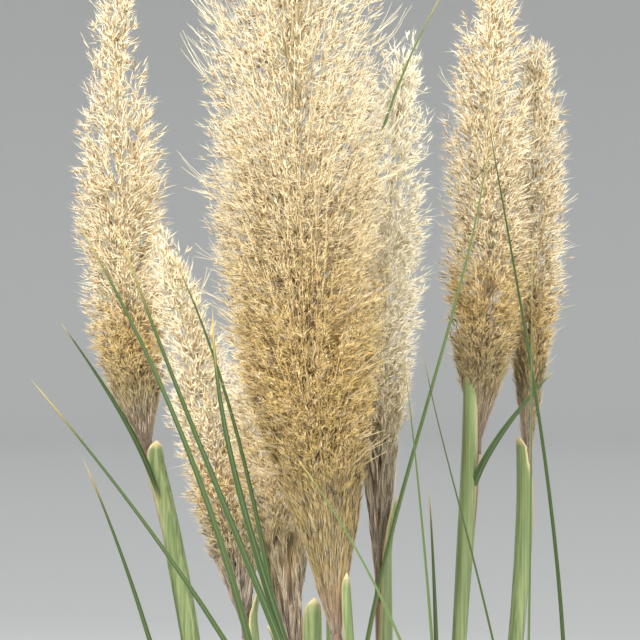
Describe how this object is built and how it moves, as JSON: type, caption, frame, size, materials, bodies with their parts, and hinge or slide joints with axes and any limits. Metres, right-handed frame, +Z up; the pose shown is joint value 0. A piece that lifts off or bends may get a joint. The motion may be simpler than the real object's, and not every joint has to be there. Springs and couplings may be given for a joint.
{
  "type": "pampas grass plant",
  "caption": "Dwarf clump of pampas grass: a woody crown, a fountain of narrow arching leaves, and tall stems with feathery cream plumes.",
  "frame": {"origin": "centre of the crown's flat underside, at ground level", "axes": "+Z up along the stems, -Y towards the tallest plume at the front, +X to the right of it"},
  "size_m": [1.1437, 1.1121, 1.3003],
  "materials": {
    "crown": "dry fibrous old leaf bases, matt",
    "leaf": "ribbed green blade, satin",
    "stem": "smooth pale green sheathed culm, satin",
    "plume": "silky cream hairs over golden brown florets"
  },
  "bodies": {
    "root": {"crown": "crown", "leafy_shoot_01": "leaf", "leafy_shoot_02": "leaf", "leafy_shoot_03": "leaf", "leafy_shoot_04": "leaf", "leafy_shoot_05": "leaf", "leafy_shoot_06": "leaf", "leafy_shoot_07": "leaf", "leafy_shoot_08": "leaf", "leafy_shoot_09": "leaf", "leafy_shoot_10": "leaf", "leafy_shoot_11": "leaf", "leafy_shoot_12": "leaf", "heart_shoot_1": "leaf", "heart_shoot_2": "leaf", "heart_shoot_3": "leaf", "heart_shoot_4": "leaf", "stem_1": "stem", "plume_1": "plume", "stem_2": "stem", "plume_2": "plume", "stem_3": "stem", "plume_3": "plume", "stem_4": "stem", "plume_4": "plume", "stem_5": "stem", "plume_5": "plume", "stem_6": "stem", "plume_6": "plume", "stem_7": "stem", "plume_7": "plume"}
  },
  "joints": []
}
